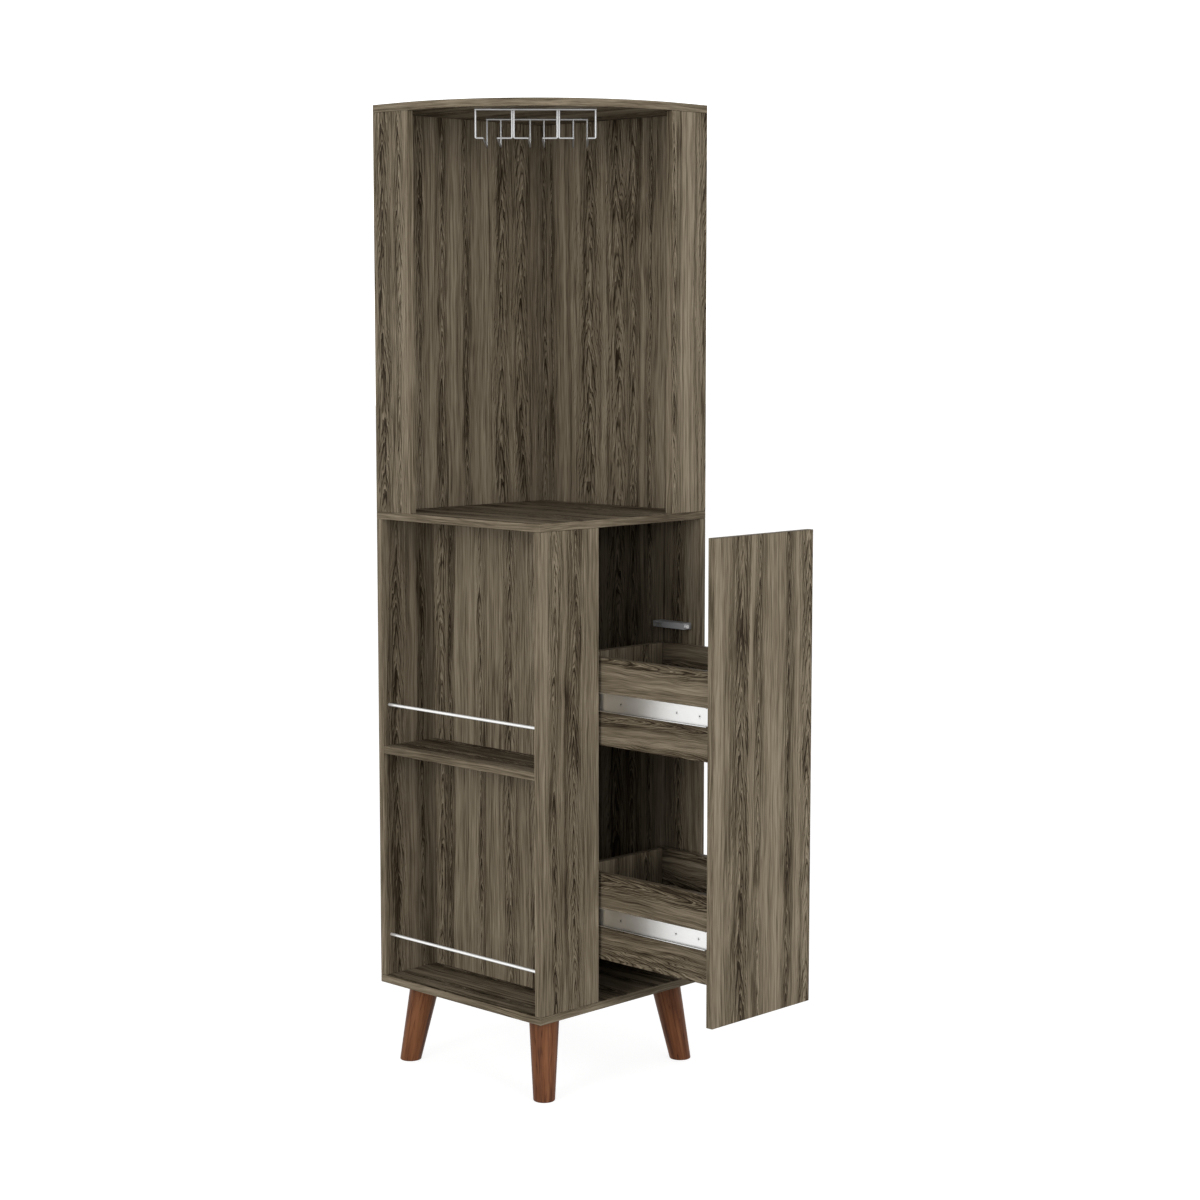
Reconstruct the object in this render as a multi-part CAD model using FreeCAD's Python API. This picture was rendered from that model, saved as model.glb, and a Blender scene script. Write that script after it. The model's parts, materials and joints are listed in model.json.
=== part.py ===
"""Corner bar cabinet: a square two-storey carcass of laminated board on four splayed legs.

The lower storey has two open shelves on its -Y face and a tall pull-out on its +X face, the
upper storey is an open hutch with a stemware rack under a round-cornered top. Millimetres,
+Z up, origin on the floor under the middle of the square plan. The room's corner is at -X, +Y.
The pull-out is modelled pulled out by drawer_travel.
"""
import FreeCAD, Part
import math
import os
from collections import defaultdict

V = FreeCAD.Vector
X = V(1, 0, 0)
Y = V(0, 1, 0)
Z = V(0, 0, 1)
quarter_turn = 90.0  # degrees

# Carcass
cabinet_width = 450.0  # square plan
board = 15.0  # laminated board
edge_ease = 0.6  # small chamfer along the boards' edges
leg_height = 157.0
bay_height = 900.0  # clear height below the worktop
hutch_height = 758.0  # clear height above the worktop
shelf_depth = 133.5  # open face to divider
post_lip = 5.5  # corner post past the divider's rear face
stile_width = 98.0
top_straight = 80.0  # straight run of the top's edge before its arc

# Legs
foot_d = 41.0
leg_head_d = 58.0
foot_inset = 36.0  # foot centre from the cabinet's outer faces
leg_head_inset = 58.0
leg_shift = 4.0  # the four legs' middle from the cabinet's, towards +X and +Y
foot_round = 2.0
leg_bolt_d = 8.0
leg_bolt_depth = 40.0  # into the leg
insert_d = 12.0
insert_length = 12.0

# Guard rails
rail_d = 6.0
rail_rise = 80.0  # axis above the shelf
rail_setback = 15.0  # axis behind the open face
rail_seat = 8.0  # blind hole at each end
rail_end_clear = 0.2

# Pull-out
front_gap = 3.0
box_rear_room = 65.0  # behind the boxes when they are pushed in
box_height = 165.0
lower_box_rise = 78.5  # above the front's lower edge
upper_box_rise = 488.0

# Slides
slide_space = 13.0  # bay wall to drawer side
slide_height = 35.0
slide_inset = 2.0  # behind the front's inner face
slide_end_gap = 3.0  # short of the box's rear
slide_overlap = 66.0  # the two members when the boxes are pulled out
sheet = 1.2
post_clear = 1.0
rail_gap = 1.3  # cabinet member's flange to the drawer member's web
ball_margin = 1.3
ball_clear = 0.25
tab_clear = 0.5
cage_t = 0.8
cage_wall = 2.0
cage_clear = 0.2
cage_length = 60.0
ball_pitch = 12.0
ball_count = 5
slide_screw_d = 3.5
slide_screw_head_d = 7.0
slide_screw_depth = 10.0
drawer_screw_shares = (0.056, 0.216, 0.617, 0.94)  # of slide_length, from the front end
cabinet_screw_shares = (0.1, 0.5, 0.9)

# Push latches
latch_rise = 34.5  # axis above the upper drawer's sides
latch_length = 80.0
latch_height = 12.0
latch_depth = 23.0
latch_round = 1.5
plunger_axis = 17.0  # from the bay wall
plunger_d = 8.0
plunger_length = 40.0
plunger_reach = 7.0
plunger_round = 1.5
plunger_clear = 0.3
latch_tip_gap = 0.5  # tip to the closed front
spring_room = 16.0  # behind the plunger
spring_d = 6.0  # outside
spring_wire_d = 0.8
spring_turns = 7
latch_screw_shares = (0.78, 0.92)  # of latch_length, from the tip end

# Stemware rack
wire_d = 3.5
wire_bend = 2.5
rack_height = 52.5  # top bars to lane rails, between axes
rack_front_reach = 104.0  # front bar from the cabinet's middle, along the diagonal
rack_depth = 230.0
rack_side_shift = -7.5
rack_turn = 45.0  # degrees, its front to the cabinet's open corner
lane_pitch = 84.2
lane_gap = 27.0  # between the axes of a lane's two rails
end_flange = 14.0  # rail to its upright, outer sides
stem_pair_gap = 0.2  # between the two uprights that stand side by side
rack_pin_d = 3.0
rack_pin_depth = 11.0  # into the top panel

# Fasteners
screw_shank_d = 6.4
screw_head_d = 10.0
screw_head_t = 3.5
screw_length = 50.0
screw_socket_d = 4.0
screw_socket_depth = 2.5
recess_span = 3.8  # cross recess of the small screws
recess_slot = 1.3
recess_depth = 0.8
cam_d = 15.0
cam_depth = 12.0
cam_setback = 24.0
cam_socket_d = 5.0
cam_socket_depth = 2.0
cam_bolt_d = 5.0
cam_bolt_thread = 11.0
dowel_d = 8.0
dowel_in_face = 10.0
dowel_in_edge = 20.0
fastener_clear = 0.2
pair_shares = (0.25, 0.75)
wide_shares = (0.15, 0.85)
third_shares = (0.2, 0.5, 0.8)
overrun = 5.0

# Levels and planes that follow from the sizes above
half = cabinet_width / 2
inner = half - board
base_z = leg_height
floor_z = base_z + board
work_under_z = floor_z + bay_height
work_z = work_under_z + board
top_under_z = work_z + hutch_height
top_z = top_under_z + board
divider_front = -half + shelf_depth
divider_back = divider_front + board
divider_mid = divider_front + board / 2
post_edge = divider_back + post_lip
shelf_under_z = floor_z + (bay_height - board) / 2
shelf_z = shelf_under_z + board
shelf_mid_z = shelf_under_z + board / 2
edge_mid = half - board / 2
box_depth = 2 * inner - box_rear_room
slide_length = box_depth - slide_inset - slide_end_gap
drawer_travel = slide_length - slide_overlap
front_inner = inner + drawer_travel
front_bottom_z = floor_z + front_gap
near_side = divider_back + slide_space
far_side = inner - slide_space
box_rear = front_inner - box_depth
flange_reach = slide_space - post_lip - post_clear
ball_d = flange_reach - sheet - ball_margin
rail_half = slide_height / 2 - sheet - ball_d - 2 * ball_clear
upper_box_top = front_bottom_z + upper_box_rise + box_height
latch_z = upper_box_top + latch_rise

shapes = defaultdict(list)  # node name to its solids
bores = defaultdict(list)  # node name to the holes cut in it


def block(a, b):
    """A box between two opposite corners, given in any order."""
    low = V(min(a.x, b.x), min(a.y, b.y), min(a.z, b.z))
    high = V(max(a.x, b.x), max(a.y, b.y), max(a.z, b.z))
    size = high - low
    return Part.makeBox(size.x, size.y, size.z, low)


def eased(shape):
    return shape.makeChamfer(edge_ease, shape.Edges)


def eased_board(a, b):
    """A board between two opposite corners, with its edges eased."""
    return eased(block(a, b))


def rod(start, direction, diameter, length):
    return Part.makeCylinder(diameter / 2, length, start, direction)


def hole(start, direction, diameter, depth):
    """A cutter that also runs out of the face it starts on."""
    return rod(start - direction * overrun, direction, diameter, depth + overrun)


def span(low, high, share):
    return low + (high - low) * share


def assembly_screw(group, through, into, point, direction):
    """A socket screw sunk flush in one board and driven into the next board's edge."""
    head = rod(point, direction, screw_head_d, screw_head_t)
    shank = rod(point, direction, screw_shank_d, screw_length)
    socket = rod(point, direction, screw_socket_d, screw_socket_depth)
    shapes[group].append(head.fuse(shank).cut(socket).removeSplitter())
    bores[through].append(hole(point, direction, screw_head_d + 2 * fastener_clear, screw_head_t))
    shank_hole = hole(point, direction, screw_shank_d + 2 * fastener_clear, screw_length + fastener_clear)
    bores[through].append(shank_hole)
    bores[into].append(shank_hole)


def cross_recess(point, direction):
    """A cutter for a small screw's driver recess, sunk along direction from the face of its head."""
    low = V(-recess_span / 2, -recess_slot / 2, -overrun)
    arm = Part.makeBox(recess_span, recess_slot, recess_depth + overrun, low)
    cross = arm.fuse(arm.rotated(V(0, 0, 0), Z, quarter_turn))
    cross.Placement = FreeCAD.Placement(point, FreeCAD.Rotation(Z, direction))
    return cross


def cam_joint(groups, holder, mate, point, into, toward):
    """A cam disc let into a board's face, with the bolt that ties that board's end to its mate."""
    middle = point + into * (board / 2)
    slot = rod(middle, toward, cam_bolt_d + 2 * fastener_clear, cam_d)
    socket = rod(point, into, cam_socket_d, cam_socket_depth)
    shapes[groups[0]].append(rod(point, into, cam_d, cam_depth).cut([slot, socket]))
    shapes[groups[1]].append(rod(middle, toward, cam_bolt_d, cam_setback + cam_bolt_thread))
    bores[holder].append(hole(point, into, cam_d + 2 * fastener_clear, cam_depth))
    bolt_hole_d = cam_bolt_d + 2 * fastener_clear
    bolt_hole = rod(middle, toward, bolt_hole_d, cam_setback + cam_bolt_thread + fastener_clear)
    bores[holder].append(bolt_hole)
    bores[mate].append(bolt_hole)


def dowel(group, face_board, edge_board, point, toward):
    """A dowel across the joint at point, running from the edge board toward the face board."""
    start = point - toward * dowel_in_edge
    length = dowel_in_edge + dowel_in_face
    shapes[group].append(rod(start, toward, dowel_d, length))
    room = rod(
        start - toward * fastener_clear,
        toward,
        dowel_d + 2 * fastener_clear,
        length + 2 * fastener_clear,
    )
    bores[face_board].append(room)
    bores[edge_board].append(room)


def make_carcass_boards():
    shapes["bottom_panel"] = [eased_board(V(-half, -half, base_z), V(half, half, floor_z))]
    shapes["left_side_panel"] = [eased_board(V(-half, -half, floor_z), V(-inner, half, work_under_z))]
    shapes["lower_back_panel"] = [eased_board(V(-inner, inner, floor_z), V(half, half, work_under_z))]
    shapes["corner_post"] = [eased_board(V(inner, -half, floor_z), V(half, post_edge, work_under_z))]
    shapes["divider_panel"] = [
        eased_board(V(-inner, divider_front, floor_z), V(inner, divider_back, work_under_z))
    ]
    shapes["fixed_shelf"] = [
        eased_board(V(-inner, -half, shelf_under_z), V(inner, divider_front, shelf_z))
    ]
    shapes["worktop"] = [eased_board(V(-half, -half, work_under_z), V(half, half, work_z))]
    shapes["upper_left_panel"] = [eased_board(V(-half, -inner, work_z), V(-inner, half, top_under_z))]
    shapes["upper_back_panel"] = [eased_board(V(-inner, inner, work_z), V(inner, half, top_under_z))]
    shapes["left_stile"] = [
        eased_board(V(-half, -half, work_z), V(-half + stile_width, -inner, top_under_z))
    ]
    shapes["right_stile"] = [
        eased_board(V(inner, half - stile_width, work_z), V(half, half, top_under_z))
    ]


def make_top_panel():
    """A square with its front corner cut to one large arc, tangent to both straight edges."""
    radius = cabinet_width - top_straight
    centre = V(half - radius, -half + radius, top_under_z)
    arc_start = V(centre.x, -half, top_under_z)
    arc_end = V(half, centre.y, top_under_z)
    arc_middle = centre + V(radius * math.sqrt(1 / 2), -radius * math.sqrt(1 / 2), 0)
    corners = [
        arc_end,
        V(half, half, top_under_z),
        V(-half, half, top_under_z),
        V(-half, -half, top_under_z),
        arc_start,
    ]
    edges = [Part.LineSegment(a, b).toShape() for a, b in zip(corners, corners[1:])]
    edges.append(Part.Arc(arc_start, arc_middle, arc_end).toShape())
    shapes["top_panel"] = [eased(Part.Face(Part.Wire(edges)).extrude(Z * board))]


def make_leg(name, side_x, side_y):
    """A round tapered leg, leaning out along the plan's diagonal and cut level at both ends."""
    shift = V(leg_shift, leg_shift, 0)
    foot = shift + V(side_x, side_y, 0) * (half - foot_inset)
    head = shift + V(side_x, side_y, 0) * (half - leg_head_inset) + Z * leg_height
    axis = head - foot
    lean = axis.Length / leg_height
    step = axis.normalize() * foot_d
    length = lean * leg_height + 2 * foot_d
    growth = (leg_head_d - foot_d) / (lean * leg_height)
    low_d = foot_d - growth * foot_d
    high_d = low_d + growth * length
    cone = Part.makeCone(low_d / 2, high_d / 2, length, foot - step, axis)
    slab = block(V(-cabinet_width, -cabinet_width, 0), V(cabinet_width, cabinet_width, leg_height))
    leg = cone.common(slab).removeSplitter()
    rim = [e for e in leg.Edges if e.BoundBox.ZMax < foot_round]
    shapes[name] = [leg.makeFillet(foot_round, rim)]
    make_leg_fixing(name, V(head.x, head.y, base_z))


def make_leg_fixing(leg, seat):
    """A threaded insert in the bottom panel and the stud that screws the leg to it."""
    ring = rod(seat, Z, insert_d, insert_length)
    bolt_room_d = leg_bolt_d + 2 * fastener_clear
    shapes["leg_inserts"].append(ring.cut(hole(seat, Z, bolt_room_d, insert_length + overrun)))
    length = leg_bolt_depth + insert_length
    shapes["leg_bolts"].append(rod(seat - Z * leg_bolt_depth, Z, leg_bolt_d, length))
    bores["bottom_panel"].append(hole(seat, Z, insert_d + 2 * fastener_clear, insert_length))
    bores[leg].append(hole(seat, -Z, bolt_room_d, leg_bolt_depth + fastener_clear))


def make_guard_rail(name, shelf_top):
    """A round rail whose ends sit in blind holes in the side panel and the corner post."""
    y = -half + rail_setback
    z = shelf_top + rail_rise
    room = rod(V(-inner - rail_seat, y, z), X, rail_d + 2 * fastener_clear, 2 * (inner + rail_seat))
    bores["left_side_panel"].append(room)
    bores["corner_post"].append(room)
    start = V(-inner - rail_seat + rail_end_clear, y, z)
    shapes[name] = [rod(start, X, rail_d, 2 * (inner + rail_seat - rail_end_clear))]


def make_base_screws():
    """Screws up through the bottom panel into the lower storey's uprights."""
    for share in pair_shares:
        places = {
            "left_side_panel": V(-edge_mid, span(-half, half, share), base_z),
            "lower_back_panel": V(span(-inner, half, share), edge_mid, base_z),
            "corner_post": V(edge_mid, span(-half, post_edge, share), base_z),
            "divider_panel": V(span(-inner, inner, share), divider_mid, base_z),
        }
        for upright, point in places.items():
            assembly_screw("assembly_screws", "bottom_panel", upright, point, Z)


def make_wall_screws():
    """Screws through the faces that stand against the room's walls, and through the divider."""
    for share in third_shares:
        low = V(-half, edge_mid, span(floor_z, work_under_z, share))
        assembly_screw("assembly_screws", "left_side_panel", "lower_back_panel", low, X)
        high = V(-half, edge_mid, span(work_z, top_under_z, share))
        assembly_screw("assembly_screws", "upper_left_panel", "upper_back_panel", high, X)
    for share in pair_shares:
        upright = V(-half, divider_mid, span(floor_z, work_under_z, share))
        assembly_screw("assembly_screws", "left_side_panel", "divider_panel", upright, X)
        shelf_end = V(-half, span(-half, divider_front, share), shelf_mid_z)
        assembly_screw("assembly_screws", "left_side_panel", "fixed_shelf", shelf_end, X)
        shelf_back = V(span(-inner, inner, share), divider_back, shelf_mid_z)
        assembly_screw("assembly_screws", "divider_panel", "fixed_shelf", shelf_back, -Y)


def make_top_screws():
    """Screws down through the top panel into the hutch's uprights."""
    for share in pair_shares:
        left = V(-edge_mid, span(-inner, half, share), top_z)
        assembly_screw("assembly_screws", "top_panel", "upper_left_panel", left, -Z)
        back = V(span(-inner, inner, share), edge_mid, top_z)
        assembly_screw("assembly_screws", "top_panel", "upper_back_panel", back, -Z)
    stile_place = half - stile_width / 2
    left_point = V(-stile_place, -edge_mid, top_z)
    assembly_screw("assembly_screws", "top_panel", "left_stile", left_point, -Z)
    right_point = V(edge_mid, stile_place, top_z)
    assembly_screw("assembly_screws", "top_panel", "right_stile", right_point, -Z)


def make_worktop_cams():
    """Cams that tie the worktop down to the lower storey and the hutch down to the worktop."""
    groups = ("carcass_cams", "carcass_cam_bolts")
    z = work_under_z - cam_setback
    for share in pair_shares:
        left = V(-half, span(divider_back, inner, share), z)
        cam_joint(groups, "left_side_panel", "worktop", left, X, Z)
        back = V(span(-inner, half, share), half, z)
        cam_joint(groups, "lower_back_panel", "worktop", back, -Y, Z)
        post = V(inner, span(-half, divider_front, share), z)
        cam_joint(groups, "corner_post", "worktop", post, X, Z)
        divider = V(span(-inner, inner, share), divider_back, z)
        cam_joint(groups, "divider_panel", "worktop", divider, -Y, Z)
    z = work_z + cam_setback
    for share in wide_shares:
        left = V(-half, span(-inner, half, share), z)
        cam_joint(groups, "upper_left_panel", "worktop", left, X, -Z)
        back = V(span(-inner, inner, share), half, z)
        cam_joint(groups, "upper_back_panel", "worktop", back, -Y, -Z)
    stile_place = inner - (stile_width - board) / 2
    cam_joint(groups, "left_stile", "worktop", V(-stile_place, -inner, z), -Y, -Z)
    cam_joint(groups, "right_stile", "worktop", V(inner, stile_place, z), X, -Z)


def make_carcass_dowels():
    """Dowels where a screw would show: at the corner post and at both stiles."""
    group = "carcass_dowels"
    for share in pair_shares:
        upright = V(inner, divider_mid, span(floor_z, work_under_z, share))
        dowel(group, "corner_post", "divider_panel", upright, X)
        shelf_end = V(inner, span(-half, divider_front, share), shelf_mid_z)
        dowel(group, "corner_post", "fixed_shelf", shelf_end, X)
    for share in third_shares:
        z = span(work_z, top_under_z, share)
        dowel(group, "left_stile", "upper_left_panel", V(-edge_mid, -inner, z), -Y)
        dowel(group, "right_stile", "upper_back_panel", V(inner, edge_mid, z), X)


def make_drawer_front():
    low = V(front_inner, post_edge + front_gap, front_bottom_z)
    high = V(front_inner + board, inner - front_gap, work_under_z - front_gap)
    shapes["drawer_front"] = [eased_board(low, high)]


def make_drawer_box(level, rise):
    """Two sides, a back and a bottom of board, butted together and hung on the tall front."""
    z = front_bottom_z + rise
    top = z + box_height
    sides = {
        f"{level}_drawer_near_side": (near_side, Y),
        f"{level}_drawer_far_side": (far_side, -Y),
    }
    back = f"{level}_drawer_back"
    bottom = f"{level}_drawer_bottom"
    inside_near = near_side + board
    inside_far = far_side - board
    inside_rear = box_rear + board
    shapes[back] = [eased_board(V(box_rear, inside_near, z), V(inside_rear, inside_far, top))]
    shapes[bottom] = [eased_board(V(inside_rear, inside_near, z), V(front_inner, inside_far, z + board))]
    for side, (outer, inward) in sides.items():
        face = outer + inward.y * board
        shapes[side] = [eased_board(V(box_rear, outer, z), V(front_inner, face, top))]
        for share in pair_shares:
            level_z = span(z, top, share)
            cam_place = V(front_inner - cam_setback, face, level_z)
            groups = ("drawer_cams", "drawer_cam_bolts")
            cam_joint(groups, side, "drawer_front", cam_place, -inward, X)
            back_joint = V(box_rear + board / 2, face, level_z)
            dowel("drawer_dowels", side, back, back_joint, -inward)
            bottom_joint = V(span(inside_rear, front_inner, share), face, z + board / 2)
            dowel("drawer_dowels", side, bottom, bottom_joint, -inward)


def slide_block(wall, inward, near, far, x_range, z_range):
    """A box given by its distances from the bay wall, its ends and its levels."""
    a = V(x_range[0], wall + inward * near, z_range[0])
    b = V(x_range[1], wall + inward * far, z_range[1])
    return block(a, b)


def make_drawer_member(name, side, wall, inward, z):
    """The channel screwed to the drawer side, with end tabs that hold the ball strips in."""
    front = front_inner - slide_inset
    rear = front - slide_length
    run = (rear, front)
    lip = slide_height / 2
    tip = slide_space - flange_reach
    member = slide_block(wall, inward, slide_space - sheet, slide_space, run, (z - lip, z + lip))
    for up in (1, -1):
        flange_z = (z + up * (lip - sheet), z + up * lip)
        member = member.fuse(slide_block(wall, inward, tip, slide_space, run, flange_z))
        tab_z = (z + up * (rail_half + tab_clear), z + up * lip)
        tab = slide_block(wall, inward, tip, slide_space, (rear, rear + sheet), tab_z)
        member = member.fuse(tab)
    shapes[name] = [member.removeSplitter()]
    seat = wall + inward * (slide_space - sheet)
    for share in drawer_screw_shares:
        point = V(front - slide_length * share, seat, z)
        slide_screw("drawer_slide_screws", name, side, point, Y * inward)


def make_cabinet_member(name, panel, wall, inward, z):
    """The narrower channel screwed to the bay wall, with end tabs at its mouth."""
    front = inner - slide_inset
    run = (front - slide_length, front)
    reach = slide_space - sheet - rail_gap
    member = slide_block(wall, inward, 0, sheet, run, (z - rail_half, z + rail_half))
    for up in (1, -1):
        flange_z = (z + up * (rail_half - sheet), z + up * rail_half)
        member = member.fuse(slide_block(wall, inward, 0, reach, run, flange_z))
        tab_top = slide_height / 2 - sheet - tab_clear
        tab_z = (z + up * (rail_half - sheet), z + up * tab_top)
        tab_run = (front - sheet, front)
        tab = slide_block(wall, inward, reach - flange_reach / 2, reach, tab_run, tab_z)
        member = member.fuse(tab)
    shapes[name] = [member.removeSplitter()]
    seat = wall + inward * sheet
    for share in cabinet_screw_shares:
        point = V(front - slide_length * share, seat, z)
        slide_screw("cabinet_slide_screws", name, panel, point, -Y * inward)


def slide_screw(group, member, panel, point, direction):
    """A flat screw whose head fills the hole in the sheet, flush with its face."""
    head = rod(point, direction, slide_screw_head_d, sheet)
    shank = rod(point, direction, slide_screw_d, sheet + slide_screw_depth)
    screw = head.fuse(shank).cut(cross_recess(point, direction))
    shapes[group].append(screw.removeSplitter())
    bores[member].append(hole(point, direction, slide_screw_head_d + 2 * fastener_clear, sheet))
    depth = sheet + slide_screw_depth + fastener_clear
    bores[panel].append(rod(point, direction, slide_screw_d + 2 * fastener_clear, depth))


def make_ball_strips(wall, inward, z):
    """Two drilled strips with a row of balls each, half way between the two members."""
    drawer_rear = front_inner - slide_inset - slide_length
    middle = (drawer_rear + inner - slide_inset) / 2
    run = (middle - cage_length / 2, middle + cage_length / 2)
    ball_out = slide_space - flange_reach + cage_clear + ball_d / 2
    near = ball_out - ball_d / 2 - cage_wall
    far = slide_space - sheet - ball_clear
    for up in (1, -1):
        ball_z = z + up * (rail_half + ball_clear + ball_d / 2)
        strip_z = (ball_z - cage_t / 2, ball_z + cage_t / 2)
        strip = slide_block(wall, inward, near, far, run, strip_z)
        for k in range(ball_count):
            x = middle + (k - (ball_count - 1) / 2) * ball_pitch
            centre = V(x, wall + inward * ball_out, ball_z)
            shapes["slide_balls"].append(Part.makeSphere(ball_d / 2, centre))
            eye = hole(centre, Z, ball_d + 2 * cage_clear, overrun)
            strip = strip.cut(eye)
        shapes["slide_ball_strips"].append(strip)


def make_slides():
    for level, rise in (("lower", lower_box_rise), ("upper", upper_box_rise)):
        z = front_bottom_z + rise + box_height / 2
        walls = {
            "near": ("divider_panel", divider_back, 1),
            "far": ("lower_back_panel", inner, -1),
        }
        for place, (panel, wall, inward) in walls.items():
            side = f"{level}_drawer_{place}_side"
            make_drawer_member(f"{level}_{place}_drawer_slide", side, wall, inward, z)
            make_cabinet_member(f"{level}_{place}_cabinet_slide", panel, wall, inward, z)
            make_ball_strips(wall, inward, z)


def make_latch(place, panel, wall, inward):
    """A side-mounted push latch: a bored housing on the bay wall and the plunger in it."""
    tip_x = inner - latch_tip_gap
    face_x = tip_x - plunger_reach
    y_axis = wall + inward * plunger_axis
    z_range = (latch_z - latch_height / 2, latch_z + latch_height / 2)
    body = slide_block(wall, inward, 0, latch_depth, (face_x - latch_length, face_x), z_range)
    y_outer = wall + inward * latch_depth
    outer = [e for e in body.Edges if abs(e.CenterOfMass.y - y_outer) < latch_round]
    body = body.makeFillet(latch_round, [e for e in outer if e.Length > latch_height + latch_round])
    bore_depth = plunger_length - plunger_reach + spring_room
    mouth = V(face_x, y_axis, latch_z)
    shapes[f"{place}_latch_housing"] = [body]
    bores[f"{place}_latch_housing"].append(hole(mouth, -X, plunger_d + 2 * plunger_clear, bore_depth))
    pin = rod(V(tip_x, y_axis, latch_z), -X, plunger_d, plunger_length)
    nose = [e for e in pin.Edges if e.BoundBox.XMin > tip_x - plunger_round]
    shapes[f"{place}_latch_plunger"] = [pin.makeFillet(plunger_round, nose)]
    shapes["latch_springs"].append(latch_spring(V(tip_x - plunger_length, y_axis, latch_z)))
    for share in latch_screw_shares:
        point = V(face_x - latch_length * share, y_outer, latch_z)
        latch_screw(f"{place}_latch_housing", panel, point, -Y * inward)


def helix_arcs(point_at, tangent_at, steps):
    """Two arcs for each step along a curve, tangent to it at the steps' ends."""
    edges = []
    for k in range(steps):
        a, b = point_at(k), point_at(k + 1)
        ta, tb = tangent_at(k), tangent_at(k + 1)
        chord = b - a
        both = ta + tb
        bend = 4 - both.dot(both)
        across = chord.dot(both)
        reach = (math.sqrt(across**2 + bend * chord.dot(chord)) - across) / bend
        first, last = a + ta * reach, b - tb * reach
        joint = (first + last) / 2
        for start, corner, end in ((a, first, joint), (joint, last, b)):
            middle = (start + end) / 2
            half_turn = math.asin((corner - middle).Length / (corner - start).Length)
            sag = math.tan(half_turn / 2) * (middle - start).Length
            top = middle + (corner - middle).normalize() * sag
            edges.append(Part.Arc(start, top, end).toShape())
    return edges


def latch_spring(front):
    """A coil spring behind the plunger, its wire ends one wire clear of the faces it works on."""
    radius = (spring_d - spring_wire_d) / 2
    length = spring_room - 2 * spring_wire_d
    turn_steps = 4
    steps = spring_turns * turn_steps
    slope = length / (2 * math.pi * spring_turns * radius)

    def point_at(k):
        angle = 2 * math.pi * k / turn_steps
        x = front.x - spring_wire_d - length * k / steps
        return V(x, front.y + radius * math.cos(angle), front.z + radius * math.sin(angle))

    def tangent_at(k):
        angle = 2 * math.pi * k / turn_steps
        return V(-slope, -math.sin(angle), math.cos(angle)).normalize()

    points = [point_at(k) for k in range(steps + 1)]
    turn_gaps = [a.distanceToPoint(b) - spring_wire_d for a, b in zip(points, points[turn_steps:])]
    print("least gap between spring turns", round(min(turn_gaps), 2))
    spine = Part.Wire(helix_arcs(point_at, tangent_at, steps))
    ring = Part.Circle(point_at(0), tangent_at(0), spring_wire_d / 2).toShape()
    return spine.makePipeShell([Part.Wire(ring)], True, False)


def latch_screw(housing, panel, point, direction):
    """A pan screw sunk in the housing's outer face and driven into the bay wall."""
    length = latch_depth + slide_screw_depth
    head = rod(point, direction, slide_screw_head_d, screw_head_t)
    shank = rod(point, direction, slide_screw_d, length)
    screw = head.fuse(shank).cut(cross_recess(point, direction))
    shapes["latch_screws"].append(screw.removeSplitter())
    head_room = hole(point, direction, slide_screw_head_d + 2 * fastener_clear, screw_head_t)
    shank_room = rod(point, direction, slide_screw_d + 2 * fastener_clear, length + fastener_clear)
    bores[housing].extend((head_room, shank_room))
    bores[panel].append(shank_room)


def bent_wire(points):
    """One round wire through the points, with an arc of wire_bend at each square corner."""
    edges = []
    start = points[0]
    for before, corner, after in zip(points, points[1:], points[2:]):
        back = (before - corner).normalize()
        on = (after - corner).normalize()
        a = corner + back * wire_bend
        b = corner + on * wire_bend
        centre = corner + (back + on) * wire_bend
        middle = centre + (corner - centre).normalize() * wire_bend
        edges.append(Part.LineSegment(start, a).toShape())
        edges.append(Part.Arc(a, middle, b).toShape())
        start = b
    edges.append(Part.LineSegment(start, points[-1]).toShape())
    spine = Part.Wire(edges)
    ring = Part.Circle(points[0], points[1] - points[0], wire_d / 2).toShape()
    return spine.makePipeShell([Part.Wire(ring)], True, False)


def on_rack(shape):
    """Turn a shape made square to the axes onto the plan's diagonal, front to the corner."""
    turned = shape.copy()
    turned.translate(X * rack_side_shift)
    turned.rotate(V(0, 0, 0), Z, rack_turn)
    return turned


def make_rack():
    """Three lanes of bent wire between a front and a rear bar, pinned under the top panel."""
    bar_z = top_under_z - wire_d / 2
    rail_z = bar_z - rack_height
    upright_z = bar_z - wire_d / 2
    front_y = -rack_front_reach
    rear_y = front_y + rack_depth
    stem = (wire_d + stem_pair_gap) / 2
    rack_half = lane_pitch + lane_gap / 2 + end_flange
    lanes = {
        "left": (-lane_pitch, -rack_half, -lane_pitch / 2 - stem),
        "middle": (0, -lane_pitch / 2 + stem, lane_pitch / 2 - stem),
        "right": (lane_pitch, lane_pitch / 2 + stem, rack_half),
    }
    for lane, (centre, left_stem, right_stem) in lanes.items():
        for side, stem_x in ((-1, left_stem), (1, right_stem)):
            rail_x = centre + side * lane_gap / 2
            path = [
                V(stem_x, front_y, upright_z),
                V(stem_x, front_y, rail_z),
                V(rail_x, front_y, rail_z),
                V(rail_x, rear_y, rail_z),
                V(rail_x, rear_y, upright_z),
            ]
            shapes[f"rack_{lane}_lane_wires"].append(on_rack(bent_wire(path)))
    make_rack_bar(front_y, bar_z, rack_half + wire_d / 2)
    make_rack_bar(rear_y, bar_z, lane_pitch + lane_gap / 2 + wire_d / 2)


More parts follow.
